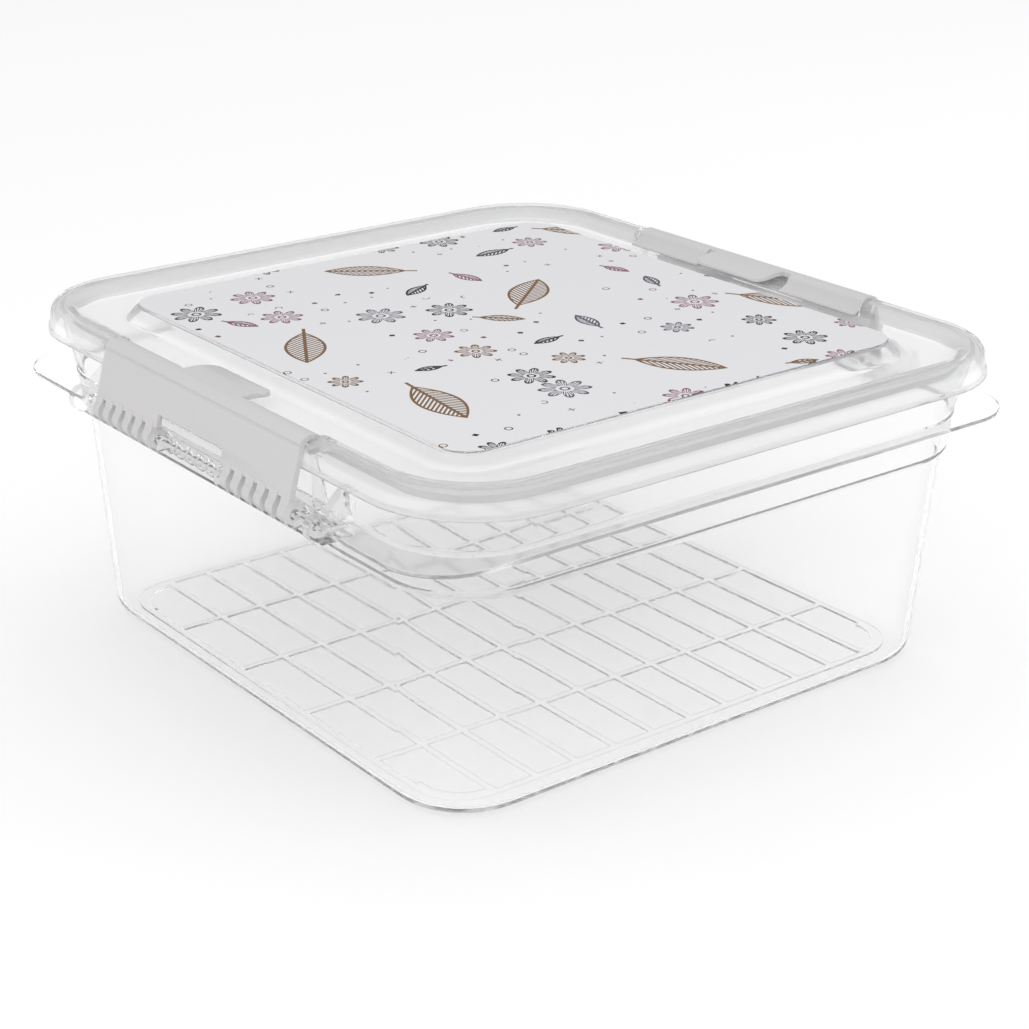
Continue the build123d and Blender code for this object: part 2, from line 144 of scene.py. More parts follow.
def cut_across(y):
    """Bisects the open piece at a distance along Y, on both sides of the middle."""
    for place in (-y, y):
        bpy.ops.mesh.select_mode(type="VERT")
        bpy.ops.mesh.select_all(action="SELECT")
        bpy.ops.mesh.bisect(plane_co=(0, place * mm, 0), plane_no=(0, 1, 0))


def close_piece(piece, angle):
    """Ends edit mode with faces pointing out, then smooths up to an angle in degrees."""
    if piece.mode == "EDIT":
        bpy.ops.mesh.select_all(action="SELECT")
        bpy.ops.mesh.normals_make_consistent(inside=False)
        bpy.ops.object.mode_set(mode="OBJECT")
    bpy.ops.object.select_all(action="DESELECT")
    piece.select_set(True)
    bpy.context.view_layer.objects.active = piece
    bpy.ops.object.shade_smooth_by_angle(angle=math.radians(angle))


def finish_with(piece, kind, **settings):
    """Adds a modifier to a piece and applies it."""
    bpy.ops.object.select_all(action="DESELECT")
    piece.select_set(True)
    bpy.context.view_layer.objects.active = piece
    modifier = piece.modifiers.new(kind.lower(), kind)
    for key, value in settings.items():
        setattr(modifier, key, value)
    bpy.ops.object.modifier_apply(modifier=modifier.name)


def merge_in(piece, other, operation="UNION"):
    """Unites a piece with another shape, or cuts that shape out of it, and removes the other."""
    finish_with(piece, "BOOLEAN", operation=operation, object=other, solver="EXACT", use_self=True)
    bpy.data.objects.remove(other)


def even_faces(piece):
    """Lets wide flat faces keep their own direction in the smooth shading of narrow bends."""
    finish_with(piece, "WEIGHTED_NORMAL", keep_sharp=True, weight=80)


def moved_in(outline, depth, z=None):
    """An outline moved in by a depth, at its own or another height."""
    half_x, half_y, radius, height = outline
    return (half_x - depth, half_y - depth, radius - depth, height if z is None else z)


def wall_at(z, depth=0, at=None):
    """The wall's outline at a height, moved in by a depth, and drawn at another height if given."""
    if z <= ledge_z:
        low, high, step = base_half, ledge_half, z / ledge_z
        radius = base_radius
    elif z <= flange_top:
        low = [half + ledge_step for half in ledge_half]
        high, step = flange_root, (z - ledge_z - ledge_step) / (flange_top - ledge_z - ledge_step)
        radius = upper_radius + step
    else:
        low, high, step = flange_root, rim_half, (z - flange_top) / (rim_z - flange_top)
        radius = upper_radius + 1 + (rim_radius - upper_radius - 1) * step
    half = [a + (b - a) * step for a, b in zip(low, high)]
    return moved_in((half[0], half[1], radius, z), depth, at)


def floor_rounding(depth, edge, floor_z):
    """The rounding between floor and wall, from the floor outwards and up."""
    rows = []
    for angle in (0, 18, 36, 54, 72, 90):
        turn = math.radians(angle)
        z = floor_z + edge * (1 - math.cos(turn))
        rows.append(wall_at(z, depth + edge * (1 - math.sin(turn))))
    return rows


flange_line = (flange_half[0], flange_half[1], flange_radius, flange_top)
outside = floor_rounding(0, base_edge, 0)
outside += [
    wall_at(76.9), wall_at(77.4, -0.05), wall_at(77.6, -0.3, 77.9), wall_at(79.8, 0.35, 79.45),
    wall_at(79.8, 0, 80.1), wall_at(91.2), wall_at(91.5, -0.12), wall_at(91.6, -0.45, flange_low - draft),
    moved_in(flange_line, flange_edge, flange_low), moved_in(flange_line, 0.18, flange_low + 0.18),
    moved_in(flange_line, 0, flange_low + flange_edge), moved_in(flange_line, 0, flange_top - flange_edge),
    moved_in(flange_line, 0.18, flange_top - 0.18), moved_in(flange_line, flange_edge, flange_top),
    wall_at(93.5, -0.55, flange_top + draft), wall_at(93.6, -0.15, 93.65), wall_at(94.1),
    wall_at(rim_z - 0.9), wall_at(rim_z, 0.26, rim_z - 0.26), wall_at(rim_z, 0.75, rim_z - draft),
]
inside = [
    wall_at(rim_z, 1.05, rim_z), wall_at(rim_z, 1.54, rim_z - 0.26),
    wall_at(rim_z - 0.9, wall, rim_z - 0.92), wall_at(94.1, wall), wall_at(93.4, wall + 0.05, 93.2),
    wall_at(91.0, wall), wall_at(79.8, wall, 80.3), wall_at(79.8, 2.1, 79.6),
    wall_at(77.6, 1.5, 78.1), wall_at(77.2, wall),
]
inside += floor_rounding(wall, base_edge - wall, wall)[::-1]

container = new_piece("container_shell")
skin(outside + inside)
for y in (flush_end, flush_slope_end, notch_end, notch_slope_end):
    cut_across(y)
for side in (-1, 1):
    for depth in (wall, 0):
        flush_x = ledge_half[0] + flush_lean - depth
        top = flange_low - 0.2 if depth == 0 else flush_inner_top
        pick(lambda p: abs(p.y) < flush_end + 0.1 and flush_low < p.z < top
             and flush_x_range[0] < p.x * side < flush_x_range[1]
             and (p.x * side > ledge_half[0] - 0.6 + (ledge_step if p.z > 79 else 0)) == (depth == 0))
        bpy.ops.transform.resize(value=(flush_lean, 1, 1), center_override=(side * flush_x * mm, 0, 0))
pick(lambda p: abs(p.x) > notch_start_x and abs(p.y) < notch_end + 0.1 and p.z > notch_low)
bpy.ops.transform.translate(value=(0, 0, -notch_drop * mm))
close_piece(container, 32)

# Floor ribs, moulded in one with the floor: a rounded border with a wider band at each corner,
# and a grid of low bars inside it, all with soft edges.
rib_half, rib_radius, rib_width = (100.0, 102.6), 17.0, 2.4
half_rib = rib_width / 2
rib_low, rib_high, rib_lean, rib_edge = 1.0, 2.7, 0.1, 0.35
corner_band, corner_reach, corner_beyond, corner_z = 4.2, 19.0, 4, (0.5, 4.0)
bar_columns, column_pitch = 11, 16.4
bar_rows, row_pitch = 4, 41.9


def add_block(low, high, edge=0, steps=1):
    """Adds a box between two corners in mm to the open piece, with its edges bevelled."""
    middle = [(a + b) / 2 * mm for a, b in zip(low, high)]
    bpy.ops.mesh.select_all(action="DESELECT")
    bpy.ops.mesh.primitive_cube_add(size=mm, location=middle)
    bpy.ops.transform.resize(value=[b - a for a, b in zip(low, high)], center_override=middle)
    if edge:
        bpy.ops.mesh.bevel(offset=edge * mm, segments=steps, affect="EDGES")


def rib_ring(inner_depth, high):
    """A closed ring of ribs along the border, from half a rib outside it to a depth inside it."""
    line = (rib_half[0], rib_half[1], rib_radius, high)
    out, soft = -half_rib, rib_edge * 0.3
    skin([
        moved_in(line, out - rib_lean, rib_low), moved_in(line, out - rib_lean / 2, high - rib_edge),
        moved_in(line, out + soft, high - soft), moved_in(line, out + rib_edge, high),
        moved_in(line, inner_depth - rib_edge, high + draft),
        moved_in(line, inner_depth - soft, high - soft),
        moved_in(line, inner_depth + rib_lean / 2, high - rib_edge - draft),
        moved_in(line, inner_depth + rib_lean, rib_low),
    ], closed_ring=True)


ribs = new_piece("floor_ribs")
rib_ring(half_rib, rib_high)
bars = []
for i in range(bar_columns):
    x = (i - (bar_columns - 1) / 2) * column_pitch
    bars.append(((x - half_rib, -rib_half[1], rib_low), (x + half_rib, rib_half[1], rib_high)))
for j in range(bar_rows):
    y = (j - (bar_rows - 1) / 2) * row_pitch
    bars.append(((-rib_half[0], y - half_rib, rib_low), (rib_half[0], y + half_rib, rib_high - draft)))
for low, high in bars:
    add_block(low, high, edge=rib_edge, steps=2)
close_piece(ribs, 32)
bands = new_piece("corner_bands")
rib_ring(corner_band - half_rib, rib_high + 0.1)
close_piece(bands, 32)
corners = new_piece("corner_blocks")
for x in (-1, 1):
    for y in (-1, 1):
        low_x, high_x = sorted((x * (rib_half[0] - corner_reach), x * (rib_half[0] + corner_beyond)))
        low_y, high_y = sorted((y * (rib_half[1] - corner_reach), y * (rib_half[1] + corner_beyond)))
        add_block((low_x, low_y, corner_z[0]), (high_x, high_y, corner_z[1]))
close_piece(corners, 32)
merge_in(bands, corners, "INTERSECT")
merge_in(ribs, bands)
merge_in(container, ribs)

# Clip hinges, moulded in one with the container: on each clip side a trough takes the place
# of the flange, with a rod along it held by two ears and by lugs between the clip's teeth,
# round beads on the rod at the clip's window, and an upright web past each end of the clip.
rod_x, rod_z, rod_radius = 126.0, 93.4, 1.5
trough_end, trough_floor, trough_edge_x = 76.5, (88.15, 89.55), 126.4
trough_back, trough_back_sink = (120.75, 122.15), 0.3
slot_edge_x, slot_z = 140, (90.4, 96.4)
hinge_wall_x = 113.4
ear_radius, ear_inner, ear_top, ear_gusset = 4.6, 72.5, 104.5, 3.2
lug_radius, lug_width, lug_start, lug_pitch, lug_count = 4.2, 1.6, 20.6, 6.8, 7
bead_radius, bead_length, bead_count = 2.4, 3.6, 5
web_start, web_end = 62.0, 63.4


def add_rod(centre, radius, length, sides=32, edge=0):
    """Adds a round bar along Y to the open piece, centre (x, y, z) in mm, ends bevelled."""
    place = [c * mm for c in centre]
    bpy.ops.mesh.select_all(action="DESELECT")
    bpy.ops.mesh.primitive_cylinder_add(
        vertices=sides, radius=radius * mm, depth=length * mm, location=place,
        rotation=(math.pi / 2, 0, 0),
    )
    if edge:
        pick_round_ends(centre[1] - length / 2, centre[1] + length / 2, centre, radius)
        bpy.ops.mesh.bevel(offset=edge * mm, segments=3, affect="EDGES")


def pick_round_ends(low, high, centre, radius):
    """Selects the two circular edges at the ends of a bar."""
    mesh = bpy.context.object.data
    bpy.ops.mesh.select_mode(type="EDGE")
    bpy.ops.mesh.select_all(action="DESELECT")
    form = bmesh.from_edit_mesh(mesh)
    for edge in form.edges:
        ends = [point.co / mm for point in edge.verts]
        level = [min(abs(end.y - low), abs(end.y - high)) < 0.01 for end in ends]
        near = [abs(math.hypot(end.x - centre[0], end.z - centre[2]) - radius) < 0.01 for end in ends]
        if all(level) and all(near) and abs(ends[0].y - ends[1].y) < 0.01:
            edge.select_set(True)
    bmesh.update_edit_mesh(mesh)


def add_section(points, low_y, high_y):
    """Draws a section point by point in X and Z, fills it and extrudes it along Y."""
    bpy.ops.mesh.select_mode(type="VERT")
    bpy.ops.mesh.select_all(action="DESELECT")
    start = (points[0][0] * mm, low_y * mm, points[0][1] * mm)
    bpy.ops.mesh.primitive_plane_add(size=mm, location=start)
    bpy.ops.mesh.merge(type="CENTER")
    for (x, z), (next_x, next_z) in zip(points, points[1:]):
        step = ((next_x - x) * mm, 0, (next_z - z) * mm)
        bpy.ops.mesh.extrude_vertices_move(TRANSFORM_OT_translate={"value": step})
    pick(lambda p: abs(p.y - low_y) < 0.001
         and any(abs(p.x - x) < 0.001 and abs(p.z - z) < 0.001 for x, z in points))
    bpy.ops.mesh.edge_face_add()
    length = (0, (high_y - low_y) * mm, 0)
    bpy.ops.mesh.extrude_region_move(TRANSFORM_OT_translate={"value": length})


def arc(centre, radius, start, end, steps):
    """Points of an arc in X and Z, angles in degrees from X towards Z."""
    turns = [math.radians(start + (end - start) * i / steps) for i in range(steps + 1)]
    return [(centre[0] + radius * math.cos(t), centre[1] + radius * math.sin(t)) for t in turns]


def mirrored_copy(piece, name):
    """A copy of a piece on the opposite clip side, with its faces turned the right way again."""
    bpy.ops.object.select_all(action="DESELECT")
    piece.select_set(True)
    bpy.context.view_layer.objects.active = piece
    bpy.ops.object.duplicate()
    copy = bpy.context.object
    copy.name = name
    copy.data.name = name
    bpy.ops.object.mode_set(mode="EDIT")
    bpy.ops.mesh.select_all(action="SELECT")
    bpy.ops.transform.resize(value=(-1, 1, 1), center_override=(0, 0, 0))
    bpy.ops.mesh.flip_normals()
    bpy.ops.object.mode_set(mode="OBJECT")
    return copy


slots = new_piece("flange_slots")
for side in (-1, 1):
    low, high = sorted((side * trough_back[0], side * slot_edge_x))
    add_block((low, -ear_inner, slot_z[0]), (high, ear_inner, slot_z[1]))
close_piece(slots, 30)
merge_in(container, slots, "DIFFERENCE")

hinge = new_piece("hinge_right")
add_block(
    (hinge_wall_x, -trough_end, trough_floor[0]), (trough_edge_x, trough_end, trough_floor[1]),
    edge=0.5, steps=2,
)
back_end = trough_end - trough_back_sink
add_block(
    (trough_back[0], -back_end, trough_floor[0] + trough_back_sink),
    (trough_back[1], back_end, rod_z - 0.05), edge=0.4, steps=2,
)
ear = [(hinge_wall_x, trough_floor[0] + 0.2), (125.6, trough_floor[0] + 0.2)]
ear += arc((rod_x, rod_z), ear_radius, -60, 115, 14)
ear += [(hinge_wall_x + ear_gusset, ear_top), (hinge_wall_x, ear_top)]
lug = [(trough_back[0] + 0.5, trough_floor[0] + 0.25), (rod_x - 1.0, trough_floor[0] + 0.25)]
lug += arc((rod_x, rod_z), lug_radius, -70, 150, 14)
lug += [(trough_back[0] + 0.5, rod_z - 0.4)]
web = [(112.9, 80.6), (120.0, 87.5), (120.0, 110.6), (116.5, 110.6), (113.9, 93.3)]
for end in (-1, 1):
    low, high = sorted((end * web_start, end * web_end))
    add_section(web, low, high)
    low, high = sorted((end * ear_inner, end * (trough_end - 0.15)))
    add_section(ear, low, high)
    for k in range(lug_count):
        start = lug_start + k * lug_pitch
        low, high = sorted((end * start, end * (start + lug_width)))
        add_section(lug, low, high)
add_rod((rod_x, 0, rod_z), rod_radius, 2 * trough_end - 1.2, 24)
for k in range(bead_count):
    y = (k - (bead_count - 1) / 2) * lug_pitch
    add_rod((rod_x, y, rod_z), bead_radius, bead_length, 24, edge=0.8)
close_piece(hinge, 32)
other_hinge = mirrored_copy(hinge, "hinge_left")
merge_in(container, hinge)
merge_in(container, other_hinge)
close_piece(container, 32)
even_faces(container)

# Clear plastic of container and lid: polished clear moulding, slightly milky, with painted shade
# that makes it greyer where it is seen edge on. Faint flow waves from moulding bend what shows through it.
# A lamp's light
# passes through it, so that it keeps only a light shadow, and light that has already gone
# through many faces goes straight on.
bend_of_light = 1.1
unshaded_heights = (109.1, 111.8)
edge_shade_falloff = 4.0
shadow_tint = (0.94, 0.94, 0.942, 1)
deepest_bend = 5.5


def reckon(tree, operation, *values, clamp=False):
    """A Math node's result; each value is a number or another node's output."""
    node = tree.nodes.new("ShaderNodeMath")
    node.operation = operation
    node.use_clamp = clamp
    for socket, value in zip(node.inputs, values):
        if isinstance(value, (int, float)):
            socket.default_value = value
        else:
            tree.links.new(value, socket)
    return node.outputs[0]


def flow_waves_group():
    """Shader group: soft waves and fine grain of a moulded surface, as a height and a mask."""
    group = bpy.data.node_groups.new("moulded_flow", "ShaderNodeTree")
    group.interface.new_socket("Wave Scale", in_out="INPUT", socket_type="NodeSocketFloat")
    group.interface.new_socket("Grain Scale", in_out="INPUT", socket_type="NodeSocketFloat")
    group.interface.new_socket("Grain Share", in_out="INPUT", socket_type="NodeSocketFloat")
    group.interface.new_socket("Height", in_out="OUTPUT", socket_type="NodeSocketFloat")
    group.interface.new_socket("Grain", in_out="OUTPUT", socket_type="NodeSocketFloat")
    ends = group.nodes.new("NodeGroupInput")
    out = group.nodes.new("NodeGroupOutput")
    place = group.nodes.new("ShaderNodeTexCoord")
    waves = group.nodes.new("ShaderNodeTexNoise")
    waves.inputs["Detail"].default_value = 1.5
    grain = group.nodes.new("ShaderNodeTexNoise")
    grain.inputs["Detail"].default_value = 3.0
    for noise, scale in ((waves, "Wave Scale"), (grain, "Grain Scale")):
        group.links.new(place.outputs["Object"], noise.inputs["Vector"])
        group.links.new(ends.outputs[scale], noise.inputs["Scale"])
    fine = reckon(group, "MULTIPLY", grain.outputs["Fac"], ends.outputs["Grain Share"])
    group.links.new(reckon(group, "ADD", waves.outputs["Fac"], fine), out.inputs["Height"])
    group.links.new(grain.outputs["Fac"], out.inputs["Grain"])
    return group


moulded_flow = flow_waves_group()


def place_flow(tree, wave_scale, grain_scale, grain_share):
    """Places the moulded surface group in a material with its own values."""
    node = tree.nodes.new("ShaderNodeGroup")
    node.node_tree = moulded_flow
    node.inputs["Wave Scale"].default_value = wave_scale
    node.inputs["Grain Scale"].default_value = grain_scale
    node.inputs["Grain Share"].default_value = grain_share
    return node


def spread(tree, value, low, high):
    """A value from 0 to 1 spread between two others."""
    node = tree.nodes.new("ShaderNodeMapRange")
    tree.links.new(value, node.inputs["Value"])
    node.inputs["To Min"].default_value = low
    node.inputs["To Max"].default_value = high
    return node.outputs["Result"]


def blend_colours(tree, share, one, other):
    """A colour between two by a share; each is a colour or another node's output."""
    node = tree.nodes.new("ShaderNodeMix")
    node.data_type = "RGBA"
    tree.links.new(share, node.inputs["Factor"])
    for socket, colour in zip((node.inputs[6], node.inputs[7]), (one, other)):
        if isinstance(colour, tuple):
            socket.default_value = colour
        else:
            tree.links.new(colour, socket)
    return node.outputs[2]


def bump_from(tree, height, strength, distance):
    """A normal from a height in metres."""
    bump = tree.nodes.new("ShaderNodeBump")
    bump.inputs["Strength"].default_value = strength
    bump.inputs["Distance"].default_value = distance
    tree.links.new(height, bump.inputs["Height"])
    return bump.outputs["Normal"]


def clear_plastic(name, face_tint, band_shade_tint, edge_shade_tint, milk, haze, wave_scale):
    """Clear moulded plastic, with a painted shade that makes it greyer above and below its two
    unshaded heights. Its milk is the share that scatters light instead of passing it, and its haze
    is how far its faces blur what shows through, from smooth to grainy spots."""
    material = bpy.data.materials.new(name)
    material.use_nodes = True
    tree = material.node_tree
    tree.nodes.clear()
    output = tree.nodes.new("ShaderNodeOutputMaterial")
    plastic = tree.nodes.new("ShaderNodeBsdfPrincipled")
    plastic.inputs["IOR"].default_value = bend_of_light
    plastic.inputs["Transmission Weight"].default_value = 1 - milk
    facing = tree.nodes.new("ShaderNodeLayerWeight")
    facing.inputs["Blend"].default_value = 0.5
    # Painted shade: the base colour turns towards the edge shade tint where a face is seen edge on.
    edge_shade_share = reckon(tree, "POWER", facing.outputs["Facing"], edge_shade_falloff)
    flow = place_flow(tree, wave_scale, 900.0, 0.12)
    place = tree.nodes.new("ShaderNodeTexCoord")
    split = tree.nodes.new("ShaderNodeSeparateXYZ")
    tree.links.new(place.outputs["Object"], split.inputs[0])
    height = reckon(tree, "MULTIPLY", split.outputs[2], 1 / mm)
    above = reckon(tree, "SUBTRACT", height, unshaded_heights[1], clamp=True)
    below = reckon(tree, "SUBTRACT", unshaded_heights[0], height, clamp=True)
    # Painted shade: above and below the unshaded heights the plastic turns to its band shade tint.
    tint = blend_colours(tree, reckon(tree, "MAXIMUM", above, below), face_tint, band_shade_tint)
    tree.links.new(blend_colours(tree, edge_shade_share, tint, edge_shade_tint), plastic.inputs["Base Color"])
    tree.links.new(spread(tree, flow.outputs["Grain"], haze[0], haze[1]), plastic.inputs["Roughness"])
    tree.links.new(bump_from(tree, flow.outputs["Height"], 0.2, 0.0003), plastic.inputs["Normal"])
    lamp_side = tree.nodes.new("ShaderNodeBsdfTransparent")
    lamp_side.inputs["Color"].default_value = shadow_tint
    path = tree.nodes.new("ShaderNodeLightPath")
    deep = reckon(tree, "GREATER_THAN", path.outputs["Ray Depth"], deepest_bend)
    mix = tree.nodes.new("ShaderNodeMixShader")
    tree.links.new(reckon(tree, "MAXIMUM", path.outputs["Is Shadow Ray"], deep), mix.inputs["Fac"])
    tree.links.new(plastic.outputs[0], mix.inputs[1])
    tree.links.new(lamp_side.outputs[0], mix.inputs[2])
    tree.links.new(mix.outputs[0], output.inputs["Surface"])
    return material


def dress(piece, material):
    """Gives a piece its only material."""
    piece.data.materials.clear()
    piece.data.materials.append(material)


container_plastic = clear_plastic(
    "clear_container_plastic", face_tint=(0.945, 0.945, 0.946, 1), band_shade_tint=(0.945, 0.945, 0.946, 1),
    edge_shade_tint=(0.8, 0.802, 0.806, 1), milk=0.07, haze=(0.04, 0.08), wave_scale=28.0,
)
dress(container, container_plastic)
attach(container, "box")
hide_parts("container")

# Lid: one clear moulding. From the raised centre panel the skin goes down into the sunk
# channel, over the hollow ridge that seats on the rim, down the skirt and back underneath.
lid_half, lid_radius, lid_wall = (122.6, 134.7), 38.6, 1.6
ridge_top, ridge_inner, ridge_outer = 117.0, 4.4, 3.3
crown_outer, crown_inner = 4.4, 6.2
channel_z, skirt_low = 110.8, 107.0
panel_top, panel_half, panel_radius, panel_edge = 116.16, (93.6, 101.2), 12.0, 1.2
panel_foot, panel_foot_radius = (97.9, 106.0), 16.5
lowered_end, lowered_slope_end, lowered_top = 62.0, 62.5, 113.0
flank_start_x, flank_z, flank_squeeze = 111.3, (111.1, 113.1), 0.62
lid_line = (lid_half[0], lid_half[1], lid_radius, ridge_top)
panel_line = (panel_half[0], panel_half[1], panel_radius, panel_top)
foot_line = (panel_foot[0], panel_foot[1], panel_foot_radius, channel_z)


def between(one, other, share):
    """An outline part of the way from one to another."""
    return tuple(a + (b - a) * share for a, b in zip(one, other))


def over_ridge(thickness):
    """The ridge's outlines from its inner foot over the crown to the skirt."""
    rows = []
    inner_z, outer_z = ridge_top - ridge_inner, ridge_top - ridge_outer
    for angle in (8, 22, 36, 50, 64, 78, 90):
        turn, radius = math.radians(angle), ridge_inner - thickness
        depth, z = crown_inner + radius * math.cos(turn), inner_z + radius * math.sin(turn)
        rows.append(moved_in(lid_line, depth, z))
    for angle in (90, 108, 126, 144, 162, 180):
        turn, radius = math.radians(angle), ridge_outer - thickness
        depth, z = crown_outer + radius * math.cos(turn), outer_z + radius * math.sin(turn)
        rows.append(moved_in(lid_line, depth, z - draft / 2 if angle == 90 else z))
    return rows


def on_ridge(point, thickness):
    """True for a point, in mm, on the ridge's face along a clip side, outer or a thickness in."""
    depth = lid_half[0] - abs(point.x)
    if depth > crown_inner:
        reach = math.hypot(depth - crown_inner, point.z - ridge_top + ridge_inner) - ridge_inner
    elif depth < crown_outer:
        reach = math.hypot(depth - crown_outer, point.z - ridge_top + ridge_outer) - ridge_outer
    else:
        reach = point.z - ridge_top
    return abs(reach + thickness) < 0.06 and point.z > ridge_top - ridge_inner


top_side = []
for angle in (0, 22, 45, 68):
    turn = math.radians(angle)
    depth = panel_edge * (1 - math.sin(turn)) - 0.1 * math.sin(turn)
    top_side.append(moved_in(panel_line, depth, panel_top - panel_edge * (1 - math.cos(turn))))
top_side += [
    between(panel_line, foot_line, 0.30), between(panel_line, foot_line, 0.86),
    moved_in(foot_line, -0.1, channel_z + 0.35), moved_in(foot_line, -1.0, channel_z + draft),
    moved_in(lid_line, 12.4, channel_z), moved_in(lid_line, 11.6, channel_z + 0.2),
    moved_in(lid_line, 10.95, channel_z + 0.8),
]
top_side += over_ridge(0)
top_side += [
    moved_in(lid_line, 0.66, 109.5), moved_in(lid_line, 0.5, 109.1), moved_in(lid_line, 0.12, 108.85),
    moved_in(lid_line, 0, 108.5), moved_in(lid_line, 0, 107.4), moved_in(lid_line, 0.4, skirt_low),
]
under_side = [moved_in(lid_line, 1.3, skirt_low + draft), moved_in(lid_line, 1.68, 107.45)]
under_side += over_ridge(lid_wall)[::-1]
under_side += [
    moved_in(lid_line, 9.35, 110.2), moved_in(lid_line, 9.9, channel_z - lid_wall + 0.3),
    moved_in(lid_line, 10.8, channel_z - lid_wall), moved_in(foot_line, 0.4, channel_z - lid_wall + draft),
    moved_in(foot_line, lid_wall, channel_z - lid_wall + 0.6),
    moved_in(between(panel_line, foot_line, 0.25), lid_wall),
    moved_in(panel_line, lid_wall + 0.3, panel_top - lid_wall - 0.4),
    moved_in(panel_line, lid_wall + 1.0, panel_top - lid_wall),
]

lid = new_piece("lid_shell")
skin(top_side + under_side)
cut_across(lowered_end)
cut_across(lowered_slope_end)
for thickness, level in ((0, 111.1), (lid_wall, 110.2)):
    squash = (lowered_top - thickness - level) / (ridge_top - thickness - level)
    pick(lambda p: abs(p.y) < lowered_end + 0.1 and on_ridge(p, thickness))
    bpy.ops.transform.resize(value=(1, 1, squash), center_override=(0, 0, level * mm))
crown_x = lid_half[0] - crown_inner
for side in (-1, 1):
    pick(lambda p: abs(p.y) < lowered_end + 0.1 and flank_start_x < p.x * side < crown_x
         and flank_z[0] < p.z < flank_z[1])
    bpy.ops.transform.resize(value=(flank_squeeze, 1, 1), center_override=(side * crown_x * mm, 0, 0))
close_piece(lid, 32)
even_faces(lid)
# The lid's band shade tint is painted shade on the lid above and below its channel.
lid_plastic = clear_plastic(
    "clear_lid_plastic", face_tint=(0.965, 0.965, 0.967, 1), band_shade_tint=(0.85, 0.85, 0.853, 1),
    edge_shade_tint=(0.80, 0.802, 0.808, 1), milk=0.23, haze=(0.10, 0.18), wave_scale=24.0,
)
dress(lid, lid_plastic)
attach(lid, "lid_body")
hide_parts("lid")

# Label: a printed film moulded on the raised panel. Its ground is a pale lilac grey, with a
# generic print of leaves, flowers and small shapes in aubergine, rose, gold and mauve.
label_low, label_thickness, label_margin = 116.2, 0.25, 0.6
leaf_spacing, leaf_scatter, leaf_lengths = 80.0, 0.55, (15.0, 19.0)
flower_spacing, flower_scatter, flower_sizes = 25.0, 0.5, (5.0, 8.5)
bit_spacing, bit_scatter = 12.0, 0.75
flower_from_leaf, bit_from_leaf, bit_from_flower = 26.5, 24.0, 10.5
petal_count, petal_hatches, petal_start, heart_radius = 8, 40, 0.36, 0.17
leaf_breadth, vein_slant, stem_shift, stem_reach = 0.42, 1.1, 0.14, 1.1
flowers_up_to, sprigs_up_to = 0.5, 0.9
dots_up_to, rings_up_to, diamonds_up_to, crosses_up_to = 0.3, 0.45, 0.6, 0.72
dot_radius, ring_radius, ring_line, diamond_reach = 0.55, 1.2, 0.45, 1.3
cross_line, cross_arm = 0.22, 1.4
print_shift = (11, 7, 0)
film_tones = ((0.875, 0.875, 0.9, 1), (0.915, 0.915, 0.94, 1))
leaf_ink = (0.235, 0.125, 0.05, 1)
print_inks = ((0.0, (0.018, 0.010, 0.028, 1)), (0.36, (0.27, 0.095, 0.17, 1)),
              (0.62, (0.20, 0.10, 0.035, 1)), (0.8, (0.13, 0.11, 0.155, 1)))
label_line = moved_in((panel_half[0], panel_half[1], panel_radius, label_low), label_margin)

label = new_piece("label_film")
skin([
    moved_in(label_line, 0.9), moved_in(label_line, 0.06, label_low - 0.14),
    moved_in(label_line, 0, label_low - 0.08),
    moved_in(label_line, 0, label_low + label_thickness - 0.06),
    moved_in(label_line, 0.08, label_low + label_thickness),
])
close_piece(label, 32)


def scattered(tree, place, spacing, randomness):
    """Scattered places: the point measured from its own place in mm, that place's numbers and
    the place itself."""
    cells = tree.nodes.new("ShaderNodeTexVoronoi")
    cells.voronoi_dimensions = "2D"
    cells.inputs["Scale"].default_value = 1 / spacing
    cells.inputs["Randomness"].default_value = randomness
    tree.links.new(place, cells.inputs["Vector"])
    offset = tree.nodes.new("ShaderNodeVectorMath")
    offset.operation = "SUBTRACT"
    tree.links.new(place, offset.inputs[0])
    tree.links.new(cells.outputs["Position"], offset.inputs[1])
    split = tree.nodes.new("ShaderNodeSeparateXYZ")
    tree.links.new(offset.outputs[0], split.inputs[0])
    numbers = tree.nodes.new("ShaderNodeSeparateColor")
    tree.links.new(cells.outputs["Color"], numbers.inputs[0])
    return split.outputs[0], split.outputs[1], numbers.outputs, cells.outputs["Position"]


def how_far(tree, x, y):
    """The distance of a point from its own place."""
    squares = reckon(tree, "ADD", reckon(tree, "POWER", x, 2.0), reckon(tree, "POWER", y, 2.0))
    return reckon(tree, "SQRT", squares)


def turned(tree, x, y, share):
    """A point turned about its place by a share of a full turn."""
    turn = reckon(tree, "MULTIPLY", share, math.tau)
    cos, sin = reckon(tree, "COSINE", turn), reckon(tree, "SINE", turn)
    along = reckon(tree, "ADD", reckon(tree, "MULTIPLY", x, cos), reckon(tree, "MULTIPLY", y, sin))
    across = reckon(tree, "SUBTRACT", reckon(tree, "MULTIPLY", y, cos), reckon(tree, "MULTIPLY", x, sin))
    return along, across


def line_at(tree, distance, width):
    """1 within half a line's width of a distance of nothing, else 0."""
    return reckon(tree, "LESS_THAN", reckon(tree, "ABSOLUTE", distance), width / 2)


def within(tree, share, low, high):
    """1 where a number lies between two others."""
    above = reckon(tree, "GREATER_THAN", share, low)
    return reckon(tree, "MULTIPLY", above, reckon(tree, "LESS_THAN", share, high))


def any_of(tree, *masks):
    """The union of masks."""
    total = masks[0]
    for mask in masks[1:]:
        total = reckon(tree, "MAXIMUM", total, mask)
    return total


